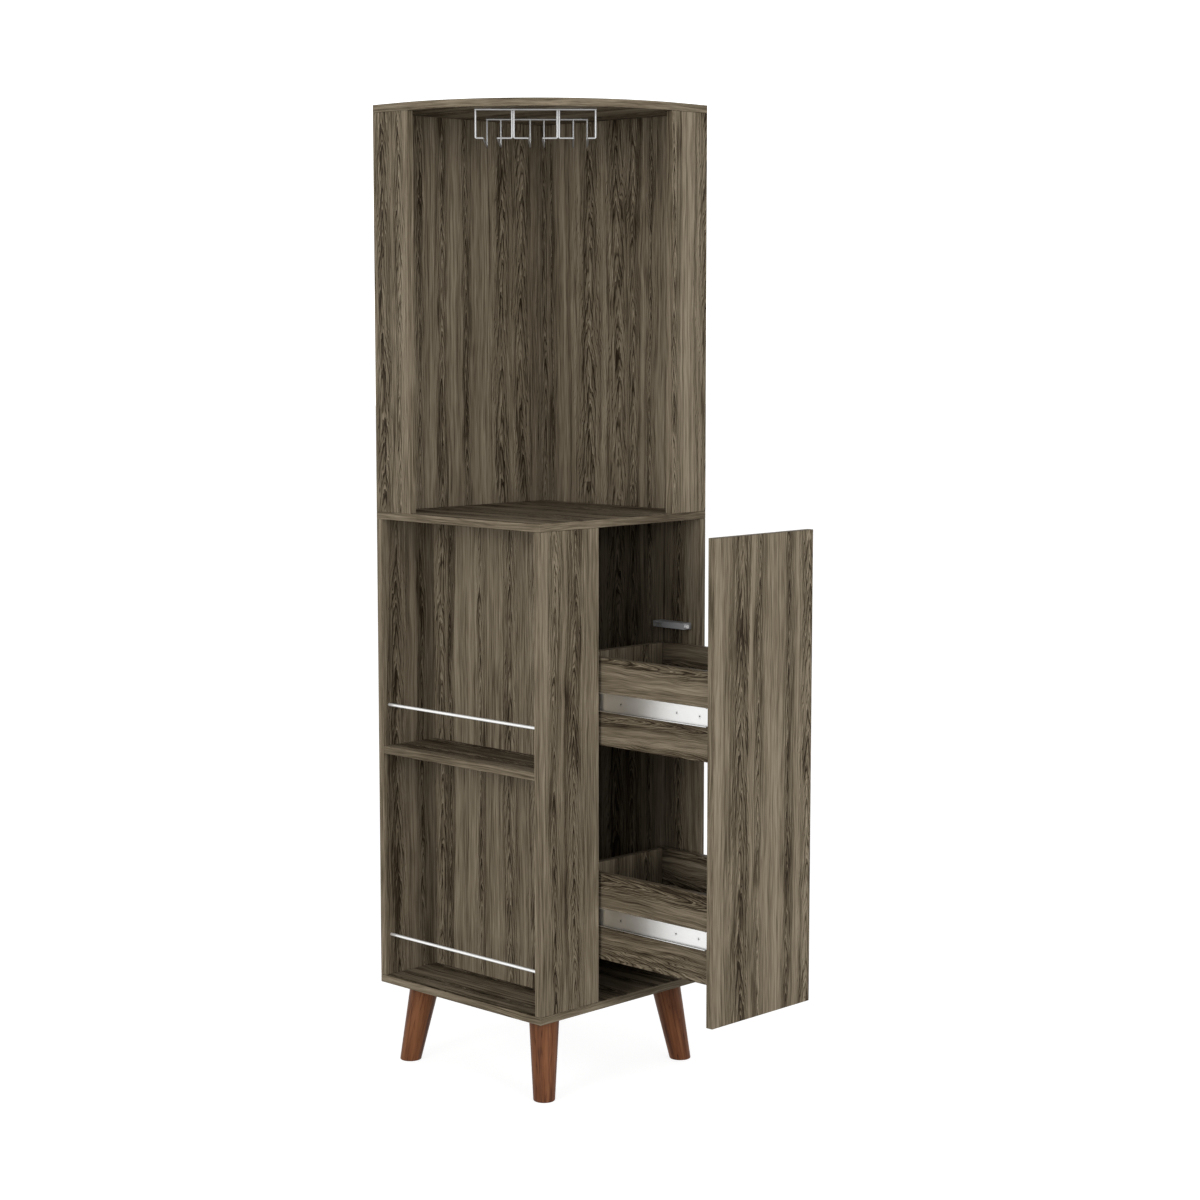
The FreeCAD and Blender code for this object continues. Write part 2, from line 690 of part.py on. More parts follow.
def make_rack_bar(y, z, reach):
    """A straight bar with two pins welded on, which are pressed into the top panel."""
    bar = rod(V(-reach, y, z), X, wire_d, 2 * reach)
    for side in (-1, 1):
        seat = V(side * lane_pitch, y, top_under_z)
        pin = rod(V(seat.x, y, z), Z, rack_pin_d, wire_d / 2 + rack_pin_depth)
        bar = bar.fuse(pin).removeSplitter()
        room_d = rack_pin_d + 2 * fastener_clear
        bores["top_panel"].append(on_rack(hole(seat, Z, room_d, rack_pin_depth + fastener_clear)))
    shapes["rack_bars"].append(on_rack(bar))


def export_parts():
    os.makedirs("parts", exist_ok=True)
    for name, solids in shapes.items():
        if bores[name]:
            solids = [solid.cut(bores[name]).removeSplitter() for solid in solids]
        pieces = [piece for solid in solids for piece in solid.Solids]
        shape = pieces[0] if len(pieces) == 1 else Part.makeCompound(pieces)
        if not shape.isValid():
            raise ValueError(f"{name} is not a valid shape")
        shape.exportStep(f"parts/{name}.step")
        print(name, len(pieces), round(shape.Volume))


make_carcass_boards()
make_top_panel()
for leg_name, leg_x, leg_y in (
    ("front_leg", 1, -1),
    ("left_leg", -1, -1),
    ("right_leg", 1, 1),
    ("rear_leg", -1, 1),
):
    make_leg(leg_name, leg_x, leg_y)
make_guard_rail("upper_guard_rail", shelf_z)
make_guard_rail("lower_guard_rail", floor_z)
make_base_screws()
make_wall_screws()
make_top_screws()
make_worktop_cams()
make_carcass_dowels()
make_drawer_front()
make_drawer_box("lower", lower_box_rise)
make_drawer_box("upper", upper_box_rise)
make_slides()
make_latch("near", "divider_panel", divider_back, 1)
make_latch("far", "lower_back_panel", inner, -1)
make_rack()
export_parts()
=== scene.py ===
"""Looks of the corner bar cabinet: grey walnut laminate, stained legs, plated wire and zinc slides.

Lengths are metres in the cabinet's own frame. The finishes work in millimetres.
"""

import json
import math

import bpy
import numpy as np
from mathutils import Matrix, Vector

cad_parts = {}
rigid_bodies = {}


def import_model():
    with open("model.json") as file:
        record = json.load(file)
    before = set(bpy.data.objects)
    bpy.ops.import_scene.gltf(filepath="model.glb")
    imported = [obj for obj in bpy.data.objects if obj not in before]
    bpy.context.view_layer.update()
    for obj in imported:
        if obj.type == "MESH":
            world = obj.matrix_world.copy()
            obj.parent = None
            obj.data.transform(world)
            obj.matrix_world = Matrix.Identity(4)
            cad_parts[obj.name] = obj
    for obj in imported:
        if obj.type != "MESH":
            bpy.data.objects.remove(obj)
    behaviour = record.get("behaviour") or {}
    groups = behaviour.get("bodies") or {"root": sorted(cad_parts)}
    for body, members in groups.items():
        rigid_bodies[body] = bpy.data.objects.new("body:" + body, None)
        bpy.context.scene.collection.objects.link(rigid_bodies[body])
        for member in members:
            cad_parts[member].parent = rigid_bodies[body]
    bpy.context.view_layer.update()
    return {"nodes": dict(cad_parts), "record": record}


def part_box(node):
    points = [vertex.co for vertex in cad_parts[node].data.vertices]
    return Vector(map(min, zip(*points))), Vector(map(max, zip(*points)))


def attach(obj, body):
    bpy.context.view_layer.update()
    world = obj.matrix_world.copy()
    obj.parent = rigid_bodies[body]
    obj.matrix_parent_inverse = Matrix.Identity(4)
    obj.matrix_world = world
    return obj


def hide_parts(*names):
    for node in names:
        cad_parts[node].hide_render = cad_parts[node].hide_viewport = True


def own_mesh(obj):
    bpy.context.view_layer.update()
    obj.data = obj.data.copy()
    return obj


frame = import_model()
nodes = frame["nodes"]
X, Y, Z = range(3)
MM_PER_M = 1000.0

# Camera, from the photograph's perspective
CAMERA_PLACE = (3.416, -3.341, 1.449)
CAMERA_TILT_DEG = 83.61
CAMERA_HEADING_DEG = 44.272
CAMERA_LENS_MM = 74.24
SENSOR_MM = 36.0

# Studio: white walls that darken overhead, a floor that looks as white, and two softboxes
WHITE = (1.0, 1.0, 1.0, 1.0)
WALL_GLOW = 1.50
CEILING_GLOW = 0.34
CEILING_RISE = (0.15, 0.85)  # upward part of a direction: wall below the first, ceiling above the second
FLOOR_SIZE = 60.0
FLOOR_COLOUR = (0.32, 0.32, 0.32, 1.0)
FLOOR_ROUGHNESS = 0.9
FLOOR_SPECULAR = 0.1
FLOOR_GLOW = 0.83
FLOOR_GLOW_ON_WOOD = 0.06
SOFTBOX_PLACES = {"left_softbox": (0.65, -3.6, 1.35), "right_softbox": (3.6, -0.65, 1.35)}
SOFTBOX_TARGET = (0.0, 0.0, 0.9)
SOFTBOX_SIZE = (1.2, 2.0)
SOFTBOX_POWER = 50.0

# Latch springs, as they are wound
SPRING_TURNS = 7
SPRING_RADIUS = 0.0026  # to the middle of the wire
SPRING_WIRE_RADIUS = 0.0004
SPRING_TURN_RINGS = 24
SPRING_RING_SIDES = 10

# Walnut laminate, dark to light, in linear colour
WALNUT_TONES = (
    (0.0, (0.019, 0.013, 0.007)),
    (0.28, (0.055, 0.041, 0.025)),
    (0.55, (0.118, 0.094, 0.063)),
    (0.8, (0.186, 0.152, 0.105)),
    (1.0, (0.245, 0.204, 0.146)),
)
LEVEL_DEPTH = 0.45  # how much deeper the figure is on level boards
LEVEL_KEPT_TONE = 0.74  # the tone that this leaves as it is
BANDING_SHADE = -0.08  # the banding's tone beside the faces'
CORNER_COLOUR = (0.035, 0.022, 0.013, 1.0)
CORNER_SHARE = 0.40
LAMINATE_ROUGHNESS = 0.62
LAMINATE_ROUGHENING = {"Tone": -0.08, "Grain": 0.06}
LAMINATE_SPECULAR = 0.05
LAMINATE_BUMP = 0.35

# Sheets of the print: how a surface faces through its board tells faces, edges and eased corners apart
FACE_LIMIT = 0.5
EASED_LIMITS = (0.3, 0.95)
SHEET_STEP = 6.0  # mm through the boards, after which another part of the print is used
SHEET_SHIFT = 0.25  # mm, so that no face lies just where the print changes
SHEET_STREAK_SHIFT = 0.739  # how far a millimetre of step moves the streaks in their noise
SHEET_CELL_SHIFT = 1.37  # how many cells it moves the chains and strips by

# Streaks along the grain: width and length in mm, detail, and the seed that sets each apart
STREAKS = {
    "long_sway": (120.0, 380.0, 1.0, 3.1),
    "short_sway": (34.0, 90.0, 2.0, 5.3),
    "long_shake": (30.0, 170.0, 1.0, 7.7),
    "short_shake": (7.0, 45.0, 2.0, 9.2),
    "figured": (80.0, 300.0, 1.0, 11.3),
    "clouds": (17.0, 120.0, 2.0, 13.7),
    "bands": (30.0, 1500.0, 1.0, 17.9),
    "lines": (4.4, 260.0, 2.0, 23.3),
    "hairs": (1.7, 60.0, 2.0, 31.7),
    "seams": (13.0, 800.0, 0.0, 41.9),
    "fibres": (1.0, 26.0, 2.0, 51.3),
}

# Sway of the grain in mm, on calm and on wavy boards
LONG_SWAY = (20.0, 34.0)
SHORT_SWAY = (7.0, 12.0)

# Chains of peaks: lengths in mm, and pairs that go from narrow chains to broad ones
CHAIN_CELLS = {"pitch": 68.0, "spread": 0.75, "seed": 0.0}
CHAIN_REACH = (15.0, 38.0)
CHAIN_STEEPNESS = (5.0, 2.0)
CHAIN_POWER = 1.3
CHAIN_STAGGER = 9.0  # peaks by which chains may start apart
CHAIN_MARKS = 50.0  # sets the chains apart, so that each peak has its own chance to be dark

# Peaks: their spacing in mm, how many peaks the noise shakes them by, and their dark cores and pale ends
PEAK_PERIOD = (36.0, 70.0)
LONG_SHAKE = 2.2
SHORT_SHAKE = 1.1
CORE_POWER = 1.8
CORE_DEPTH = (0.40, 1.0)
PALE_POWER = 3.0

# Rings nested in the peaks, and the shadow round them: the shares are of the chain's reach
RINGS_PER_PEAK = 2.0
RING_WIDTH = 0.24
NESTED_SHARES = (1.8, 0.4)
SHADOW_SHARE = 1.5

# Where noise about 0 turns a mark off and on
FIGURED_RISE = (-0.40, -0.06)
FIBRE_RISE = (0.16, -0.16)
CLOUD_RISE = (-0.02, 0.20)
SEAM_WIDTH = 0.034

# How strong a mark is: dark cores on calm and wavy boards and in their fibres, and marks on banding
FLAME_DEPTH = (1.0, 0.8)
FLAME_IN_FIBRES = 0.45
BANDING_PEAKS = 0.12
BANDING_STRIPS = 0.35

# Strips of veneer, in mm
STRIP_CELLS = {"pitch": 13.0, "spread": 0.9, "seed": 8.1}
STRIP_SWAY = 0.6

# The ground tone of calm and wavy boards, and what each mark adds to the tone and to the relief
GROUND_TONE = (0.760, 0.675)
MARK_TONES = {
    "strip": 0.16,
    "bands": 0.58,
    "lines": 1.05,
    "hairs": 1.05,
    "flame": -0.90,
    "contour": -0.42,
    "gleam": 0.16,
    "shadow": -0.30,
    "dark_line": -0.18,
}
MARK_RELIEF = {"hairs": 0.6, "flame": -0.5, "dark_line": -0.5}

# Turned wood: tones in linear colour, and streaks by width and length in mm and detail
LEG_STAIN = ((0.1, (0.034, 0.010, 0.004)), (0.5, (0.112, 0.039, 0.015)), (0.9, (0.186, 0.074, 0.031)))
DOWEL_BEECH = ((0.1, (0.390, 0.240, 0.120)), (0.5, (0.540, 0.370, 0.205)), (0.9, (0.640, 0.470, 0.285)))
LEG_SPLAY = 0.022  # from a leg's head out to its foot, along X and along Y
TURNED_STREAKS = {"broad": (10.0, 160.0, 1.0), "fine": (1.0, 55.0, 3.0), "seams": (7.0, 300.0, 1.0)}
TURNED_SEAM_WIDTH = 0.040
TURNED_GROUND = -0.24
TURNED_TONES = {"broad": 1.2, "fine": 0.5, "dark": -0.28}
TURNED_ROUGHNESS = 0.40
TURNED_ROUGHENING = {"fine": 0.12}
TURNED_SPECULAR = 0.12
TURNED_BUMP = 0.25
PORE_DEPTH = 0.0002

# Metals: the rubbed lines are rub_length millimetres long
METALS = {
    "rail_chrome": {
        "colour": (0.86, 0.86, 0.85), "roughness": 0.30,
        "rub_length": 60.0, "rub_depth": 0.05, "metallic": 0.6,
    },
    "rack_wire": {
        "colour": (0.42, 0.42, 0.42), "roughness": 0.42,
        "rub_length": 20.0, "rub_depth": 0.05, "metallic": 0.6,
    },
    "slide_zinc": {
        "colour": (0.80, 0.80, 0.79), "roughness": 0.30,
        "rub_length": 70.0, "rub_depth": 0.12, "metallic": 1.0,
    },
    "ball_steel": {
        "colour": (0.78, 0.78, 0.78), "roughness": 0.14,
        "rub_length": 5.0, "rub_depth": 0.03, "metallic": 1.0,
    },
    "fastener_steel": {
        "colour": (0.60, 0.60, 0.57), "roughness": 0.34,
        "rub_length": 8.0, "rub_depth": 0.10, "metallic": 1.0,
    },
}
RUBS_PER_MM = 2.0
RUB_DETAIL = 2.0
PATCHES_PER_MM = 0.03
PATCH_DETAIL = 3.0
METAL_SHADE = 0.90
METAL_SHADING = {"patches": 0.12, "rubbed": 0.06}
METAL_SMOOTHEST = -0.06  # added to the roughness where there are no patches or rubbed lines
METAL_ROUGHENING = {"patches": 0.08, "rubbed": 0.06}
RUB_HEIGHT = 0.00005

# Painted shade of slides and their screws, as dark channel faces and dark screw recesses: depths in mm,
# and how level a track's face is
RECESS_DEPTHS = (0.06, 0.02)
TRACK_DEPTHS = (0.4, 0.9)
TRACK_LEVEL = (0.5, 0.9)
# share of the zinc's colour left on a channel's level inner faces: painted shade
CHANNEL_PAINTED_SHADE = 0.22

# Moulded plastic
PLASTICS = {
    "latch_grey": {"colour": (0.36, 0.36, 0.37), "roughness": 0.45},
    "latch_white": {"colour": (0.80, 0.80, 0.79), "roughness": 0.40},
}
SPARKS_PER_MM = 2.5
CLOUDS_PER_MM = 0.08
PLASTIC_DETAIL = 2.0
PLASTIC_SHADE = 0.92
PLASTIC_SHADING = {"clouds": 0.12, "sparks": 0.04}
PLASTIC_SMOOTHEST = -0.05  # added to the roughness between the sparks
PLASTIC_ROUGHENING = {"sparks": 0.10}
PLASTIC_BUMP = 0.15
SPARK_HEIGHT = 0.0001


class Wiring:
    """Places nodes in one tree: plain values or sockets go in, and an output socket comes back."""

    def __init__(self, tree):
        self.tree = tree

    def put(self, value, socket):
        if isinstance(value, bpy.types.NodeSocket):
            self.tree.links.new(value, socket)
        else:
            socket.default_value = value

    def add(self, kind, inputs, output=0, **settings):
        node = self.tree.nodes.new(kind)
        for name, value in settings.items():
            setattr(node, name, value)
        for key, value in inputs.items():
            self.put(value, node.inputs[key])
        return node.outputs[output]

    def math(self, operation, *values):
        return self.add("ShaderNodeMath", dict(enumerate(values)), operation=operation)

    def chain(self, operation, values):
        """The first value, joined with each of the others in turn."""
        result, *others = values
        for value in others:
            result = self.math(operation, result, value)
        return result

    def total(self, *values):
        return self.chain("ADD", values)

    def product(self, *values):
        return self.chain("MULTIPLY", values)

    def weighed(self, ground, marks, weights):
        """The ground value plus each mark that weights names, times its weight."""
        return self.total(ground, *(self.product(marks[name], weight) for name, weight in weights.items()))

    def centred(self, value):
        """A value from 0 to 1, moved to lie about 0."""
        return self.math("SUBTRACT", value, 0.5)

    def coordinates(self):
        """Object is a point's place in metres, and Normal the way that its surface faces."""
        return self.tree.nodes.new("ShaderNodeTexCoord").outputs

    def scaled_vector(self, vector, factor):
        return self.add("ShaderNodeVectorMath", {0: vector, 3: factor}, operation="SCALE")

    def split(self, vector):
        node = self.tree.nodes.new("ShaderNodeSeparateXYZ")
        self.put(vector, node.inputs[0])
        return list(node.outputs)

    def join(self, x, y, z):
        return self.add("ShaderNodeCombineXYZ", {0: x, 1: y, 2: z})

    def pick(self, share, a, b):
        """a where share is 0, b where it is 1, and the straight mix between."""
        return self.add("ShaderNodeMix", {0: share, 2: a, 3: b}, data_type="FLOAT")

    def mix_colour(self, share, a, b):
        return self.add("ShaderNodeMix", {0: share, 6: a, 7: b}, output=2, data_type="RGBA")

    def rise(self, value, low, high):
        """0 below low, 1 above high, with a smooth step between. A low above high turns it round."""
        sockets = {0: value, 1: low, 2: high, 3: 0.0, 4: 1.0}
        return self.add("ShaderNodeMapRange", sockets, interpolation_type="SMOOTHSTEP")

    def noise(self, vector, detail):
        return self.add("ShaderNodeTexNoise", {"Vector": vector, "Scale": 1.0, "Detail": detail})

    def bump(self, height, strength, distance):
        return self.add("ShaderNodeBump", {"Strength": strength, "Distance": distance, "Height": height})

    def ramp(self, value, stops):
        node = self.tree.nodes.new("ShaderNodeValToRGB")
        self.put(value, node.inputs[0])
        elements = node.color_ramp.elements
        while len(elements) < len(stops):
            elements.new(0.5)
        for element, (place, colour) in zip(elements, stops):
            element.position = place
            element.color = (*colour, 1.0)
        return node.outputs[0]


def new_group(name, inputs, outputs):
    """An empty node group with sockets of the kinds given, its wiring and its two ends."""
    tree = bpy.data.node_groups.new(name, "ShaderNodeTree")
    for direction, sockets in (("INPUT", inputs), ("OUTPUT", outputs)):
        for label, kind in sockets.items():
            tree.interface.new_socket(label, in_out=direction, socket_type=f"NodeSocket{kind}")
    start = tree.nodes.new("NodeGroupInput")
    end = tree.nodes.new("NodeGroupOutput")
    return tree, Wiring(tree), start.outputs, end.inputs


def use_group(wiring, tree, inputs):
    node = wiring.tree.nodes.new("ShaderNodeGroup")
    node.node_tree = tree
    for key, value in inputs.items():
        wiring.put(value, node.inputs[key])
    return node.outputs


def board_sheet_group():
    """Where a point lies on its sheet of laminate.

    Place and Facing come as (across, along, through) the board. On the two broad faces the sheet
    runs along the board. On the narrow edges a strip of banding runs along the edge, and the eased
    corner between the two is given as Corner.
    """
    tree, w, given, out = new_group(
        "board_sheet",
        {"Place": "Vector", "Facing": "Vector"},
        {"Across": "Float", "Along": "Float", "Sheet": "Float", "Edge": "Float", "Corner": "Float"},
    )
    across, along, through = w.split(w.scaled_vector(given["Place"], MM_PER_M))
    facing = w.math("ABSOLUTE", w.split(given["Facing"])[2])
    face = w.math("GREATER_THAN", facing, FACE_LIMIT)
    step = w.math("SNAP", w.total(through, SHEET_SHIFT), SHEET_STEP)
    edge_side, face_side = EASED_LIMITS
    eased = w.product(w.math("GREATER_THAN", facing, edge_side), w.math("LESS_THAN", facing, face_side))
    w.put(w.pick(face, through, across), out["Across"])
    w.put(w.pick(face, w.total(across, along), along), out["Along"])
    w.put(w.product(face, step), out["Sheet"])
    w.put(w.math("SUBTRACT", 1.0, face), out["Edge"])
    w.put(eased, out["Corner"])
    return tree


def walnut_figure_group():
    """The printed walnut: chains of nested peaks, soft strips and hair lines, all along the grain.

    A chain is a cell of a one-way Voronoi pattern. Its peaks are the saw teeth of
    (along + steepness x distance from the chain's middle to a power) / period, shaken by noise.
    Wave makes the grain sway more. The banding on an Edge has hardly any peaks. Tone and Grain are
    sums of the marks, each times its weight in the tone or in the relief.
    """
    tree, w, given, out = new_group(
        "walnut_figure",
        {"Across": "Float", "Along": "Float", "Sheet": "Float", "Edge": "Float", "Wave": "Float"},
        {"Tone": "Float", "Grain": "Float"},
    )
    across, along, sheet, edge, wave = (given[key] for key in ("Across", "Along", "Sheet", "Edge", "Wave"))
    layer = w.product(sheet, SHEET_STREAK_SHIFT)

    def streaks(name, place):
        """Noise about 0, drawn out along the grain."""
        width, length, detail, seed = STREAKS[name]
        point = w.join(w.product(place, 1 / width), w.product(along, 1 / length), w.total(layer, seed))
        return w.centred(w.noise(point, detail))

    def cells(place, pitch, spread, seed):
        """Random cells across the grain: the distance to the cell's middle and three chances."""
        node = w.tree.nodes.new("ShaderNodeTexVoronoi")
        node.voronoi_dimensions = "1D"
        start = w.product(sheet, SHEET_CELL_SHIFT)
        w.put(w.total(w.product(place, 1 / pitch), start, seed), node.inputs["W"])
        node.inputs["Scale"].default_value = 1.0
        node.inputs["Randomness"].default_value = spread
        chances = w.tree.nodes.new("ShaderNodeSeparateColor")
        w.put(node.outputs["Color"], chances.inputs[0])
        return w.product(node.outputs["Distance"], pitch), list(chances.outputs)

    long_sway = w.product(streaks("long_sway", across), w.pick(wave, *LONG_SWAY))
    short_sway = w.product(streaks("short_sway", across), w.pick(wave, *SHORT_SWAY))
    swayed = w.total(across, long_sway, short_sway)

    off_middle, (spacing, stagger, broad) = cells(swayed, **CHAIN_CELLS)
    reach = w.pick(broad, *CHAIN_REACH)
    legs = w.product(w.math("POWER", off_middle, CHAIN_POWER), w.pick(broad, *CHAIN_STEEPNESS))
    period = w.pick(spacing, *PEAK_PERIOD)
    shake = w.total(
        w.product(streaks("long_shake", across), LONG_SHAKE),
        w.product(streaks("short_shake", across), SHORT_SHAKE),
    )
    climb = w.math("DIVIDE", w.total(along, legs), period)
    peak_way = w.total(climb, shake, w.product(stagger, CHAIN_STAGGER))
    tooth = w.math("FRACT", peak_way)
    tooth_mark = w.join(w.math("FLOOR", peak_way), w.product(spacing, CHAIN_MARKS), 0.0)
    tooth_chance = w.add("ShaderNodeTexWhiteNoise", {"Vector": tooth_mark}, noise_dimensions="3D")
    near = w.rise(off_middle, reach, 0.0)
    core = w.product(w.math("POWER", tooth, CORE_POWER), near, w.pick(tooth_chance, *CORE_DEPTH))
    pale = w.product(w.math("POWER", w.math("SUBTRACT", 1.0, tooth), PALE_POWER), near)
    ring = w.math("ABSOLUTE", w.centred(w.math("FRACT", w.product(peak_way, RINGS_PER_PEAK))))
    nested_ends = (w.product(reach, share) for share in NESTED_SHARES)
    nested = w.product(w.rise(ring, RING_WIDTH, 0.0), w.rise(off_middle, *nested_ends))

    on_face = w.pick(edge, 1.0, BANDING_PEAKS)
    striping = w.pick(edge, 1.0, BANDING_STRIPS)
    figured = w.product(on_face, w.rise(streaks("figured", across), *FIGURED_RISE))
    fibres = w.rise(streaks("fibres", swayed), *FIBRE_RISE)
    depth = w.pick(fibres, w.pick(wave, *FLAME_DEPTH), FLAME_IN_FIBRES)
    clouds = w.rise(streaks("clouds", swayed), *CLOUD_RISE)
    by_chains = w.rise(off_middle, w.product(reach, SHADOW_SHARE), 0.0)
    strip_place = w.total(swayed, w.product(long_sway, STRIP_SWAY))
    strip_chance = cells(strip_place, **STRIP_CELLS)[1][0]
    seam = w.math("ABSOLUTE", streaks("seams", swayed))
    marks = {
        "strip": w.product(w.centred(strip_chance), striping),
        "bands": w.product(streaks("bands", swayed), striping),
        "lines": streaks("lines", swayed),
        "hairs": streaks("hairs", swayed),
        "flame": w.product(core, figured, depth),
        "contour": w.product(nested, figured),
        "gleam": w.product(pale, figured),
        "shadow": w.product(clouds, on_face, by_chains),
        "dark_line": w.rise(seam, SEAM_WIDTH, 0.0),
    }
    w.put(w.weighed(w.pick(wave, *GROUND_TONE), marks, MARK_TONES), out["Tone"])
    w.put(w.weighed(0.0, marks, MARK_RELIEF), out["Grain"])
    return tree


def new_material(name):
    """A material with a plain Principled surface, its wiring and the surface's inputs."""
    material = bpy.data.materials.new(name)
    material.use_nodes = True
    w = Wiring(material.node_tree)
    surface = material.node_tree.nodes["Principled BSDF"]
    return material, w, surface.inputs


def walnut(name, axes, wave, sheet_group, figure_group):
    """Laminate whose axes across, along and through the board are three numbers from 0 to 2.

    The broad faces of level boards show a deeper figure.
    """
    material, w, surface = new_material(name)
    coordinates = w.coordinates()
    place = w.split(coordinates["Object"])
    facing = w.split(coordinates["Normal"])
    sheet = use_group(
        w,
        sheet_group,
        {"Place": w.join(*(place[k] for k in axes)), "Facing": w.join(*(facing[k] for k in axes))},
    )
    print_place = {key: sheet[key] for key in ("Across", "Along", "Sheet", "Edge")}
    figure = use_group(w, figure_group, {**print_place, "Wave": wave})
    tone = w.total(figure["Tone"], w.product(sheet["Edge"], BANDING_SHADE))
    if axes[2] == Z:
        away = w.math("SUBTRACT", figure["Tone"], LEVEL_KEPT_TONE)
        tone = w.total(tone, w.product(away, w.pick(sheet["Edge"], LEVEL_DEPTH, 0.0)))
    colour = w.ramp(tone, WALNUT_TONES)
    eased = w.product(sheet["Corner"], CORNER_SHARE)
    w.put(w.mix_colour(eased, colour, CORNER_COLOUR), surface["Base Color"])
    w.put(w.weighed(LAMINATE_ROUGHNESS, figure, LAMINATE_ROUGHENING), surface["Roughness"])
    surface["Specular IOR Level"].default_value = LAMINATE_SPECULAR
    w.put(w.bump(figure["Grain"], LAMINATE_BUMP, PORE_DEPTH), surface["Normal"])
    return material


def turned_wood(name, tones, lean_x, lean_y):
    """Solid wood whose grain follows a leg that leans by lean_x and lean_y per unit of height."""
    material, w, surface = new_material(name)
    x, y, z = w.split(w.scaled_vector(w.coordinates()["Object"], MM_PER_M))
    x = w.total(x, w.product(z, lean_x))
    y = w.total(y, w.product(z, lean_y))

    def streaks(kind):
        width, length, detail = TURNED_STREAKS[kind]
        point = w.join(w.product(x, 1 / width), w.product(y, 1 / width), w.product(z, 1 / length))
        return w.noise(point, detail)

    seam = w.math("ABSOLUTE", w.centred(streaks("seams")))
    dark = w.rise(seam, TURNED_SEAM_WIDTH, 0.0)
    fine = streaks("fine")
    marks = {"broad": streaks("broad"), "fine": fine, "dark": dark}
    w.put(w.ramp(w.weighed(TURNED_GROUND, marks, TURNED_TONES), tones), surface["Base Color"])
    w.put(w.weighed(TURNED_ROUGHNESS, marks, TURNED_ROUGHENING), surface["Roughness"])
    surface["Specular IOR Level"].default_value = TURNED_SPECULAR
    w.put(w.bump(w.math("SUBTRACT", fine, dark), TURNED_BUMP, PORE_DEPTH), surface["Normal"])
    return material


def within(w, value, bounds):
    """How deep a value in millimetres lies between two bounds in metres."""
    low, high = (bound * MM_PER_M for bound in bounds)
    return w.math("MINIMUM", w.math("SUBTRACT", value, low), w.math("SUBTRACT", high, value))


def painted_recess_shade(node):
    """Painted shade for flush screws: bright on the node's two outermost Y planes, and darkened below them
    in the recesses.
    """
    planes = [corner[Y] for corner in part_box(node)]

    def shade(w, place, facing):
        return w.rise(within(w, place[Y], planes), *RECESS_DEPTHS)

    return shade


def painted_channel_shade(node):
    """Painted shade for a channel along X: the level faces inside it are darkened, where the balls run."""
    levels = [corner[Z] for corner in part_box(node)]

    def shade(w, place, facing):
        level_face = w.rise(w.math("ABSOLUTE", facing[Z]), *TRACK_LEVEL)
        inside = w.rise(within(w, place[Z], levels), *TRACK_DEPTHS)
        return w.pick(w.product(level_face, inside), 1.0, CHANNEL_PAINTED_SHADE)

    return shade


def metal(name, colour, roughness, rub_length, rub_depth, metallic, painted_shade=None):
    """Plated metal with faint rubbed lines along X, and patches where the plating is duller."""
    material, w, surface = new_material(name)
    coordinates = w.coordinates()
    point = w.scaled_vector(coordinates["Object"], MM_PER_M)
    place = w.split(point)
    rub_scales = (1 / rub_length, RUBS_PER_MM, RUBS_PER_MM)
    rub_place = w.join(*(w.product(value, scale) for value, scale in zip(place, rub_scales)))
    marks = {
        "rubbed": w.noise(rub_place, RUB_DETAIL),
        "patches": w.noise(w.scaled_vector(point, PATCHES_PER_MM), PATCH_DETAIL),
    }
    shade = w.weighed(METAL_SHADE, marks, METAL_SHADING)
    # painted shade, where a piece gives it: darker screw recesses and channel faces
    if painted_shade:
        shade = w.product(shade, painted_shade(w, place, w.split(coordinates["Normal"])))
    w.put(w.scaled_vector(colour, shade), surface["Base Color"])
    w.put(w.weighed(roughness + METAL_SMOOTHEST, marks, METAL_ROUGHENING), surface["Roughness"])
    surface["Metallic"].default_value = metallic
    w.put(w.bump(marks["rubbed"], rub_depth, RUB_HEIGHT), surface["Normal"])
    return material


def moulded_plastic(name, colour, roughness):
    """Plastic with the fine spark-eroded texture of its mould."""
    material, w, surface = new_material(name)
    point = w.scaled_vector(w.coordinates()["Object"], MM_PER_M)
    marks = {
        "sparks": w.noise(w.scaled_vector(point, SPARKS_PER_MM), PLASTIC_DETAIL),
        "clouds": w.noise(w.scaled_vector(point, CLOUDS_PER_MM), PLASTIC_DETAIL),
    }
    shade = w.weighed(PLASTIC_SHADE, marks, PLASTIC_SHADING)
    w.put(w.scaled_vector(colour, shade), surface["Base Color"])
    w.put(w.weighed(roughness + PLASTIC_SMOOTHEST, marks, PLASTIC_ROUGHENING), surface["Roughness"])
    w.put(w.bump(marks["sparks"], PLASTIC_BUMP, SPARK_HEIGHT), surface["Normal"])
    return material


def nodes_in(slot):
    """The nodes that take their finish from a material slot of the record."""
    return [part["node"] for part in frame["record"]["subparts"] if part["material_slot"] == slot]


def dress(node, material):
    for slot in nodes[node].material_slots:
        slot.material = material


def dress_boards():
    """Each board's grain runs up it, or along X on level boards and on the drawers' sides."""
    sheet_group = board_sheet_group()
    figure_group = walnut_figure_group()
    made = {}
    for node in nodes_in("walnut_laminate"):
        low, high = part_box(node)
        through = int(np.argmin(np.array(high) - np.array(low)))
        along = X if through == Z or node.endswith("_side") else Z
        across = X + Y + Z - through - along
        axes = (across, along, through)
        wave = 1.0 if node.endswith("_side") else 0.0
        if (axes, wave) not in made:
            label = "walnut_" + "".join("xyz"[k] for k in axes) + ("_wavy" if wave else "")
            made[axes, wave] = walnut(label, axes, wave, sheet_group, figure_group)
        dress(node, made[axes, wave])


def dress_legs():
    """Each leg's grain leans with it, away from the middle of the plan."""
    for node in nodes_in("leg_wood"):
        low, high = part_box(node)
        side = np.sign(np.array(low) + np.array(high))
        lean = LEG_SPLAY / (high[Z] - low[Z])
        dress(node, turned_wood(node + "_stain", LEG_STAIN, side[X] * lean, side[Y] * lean))


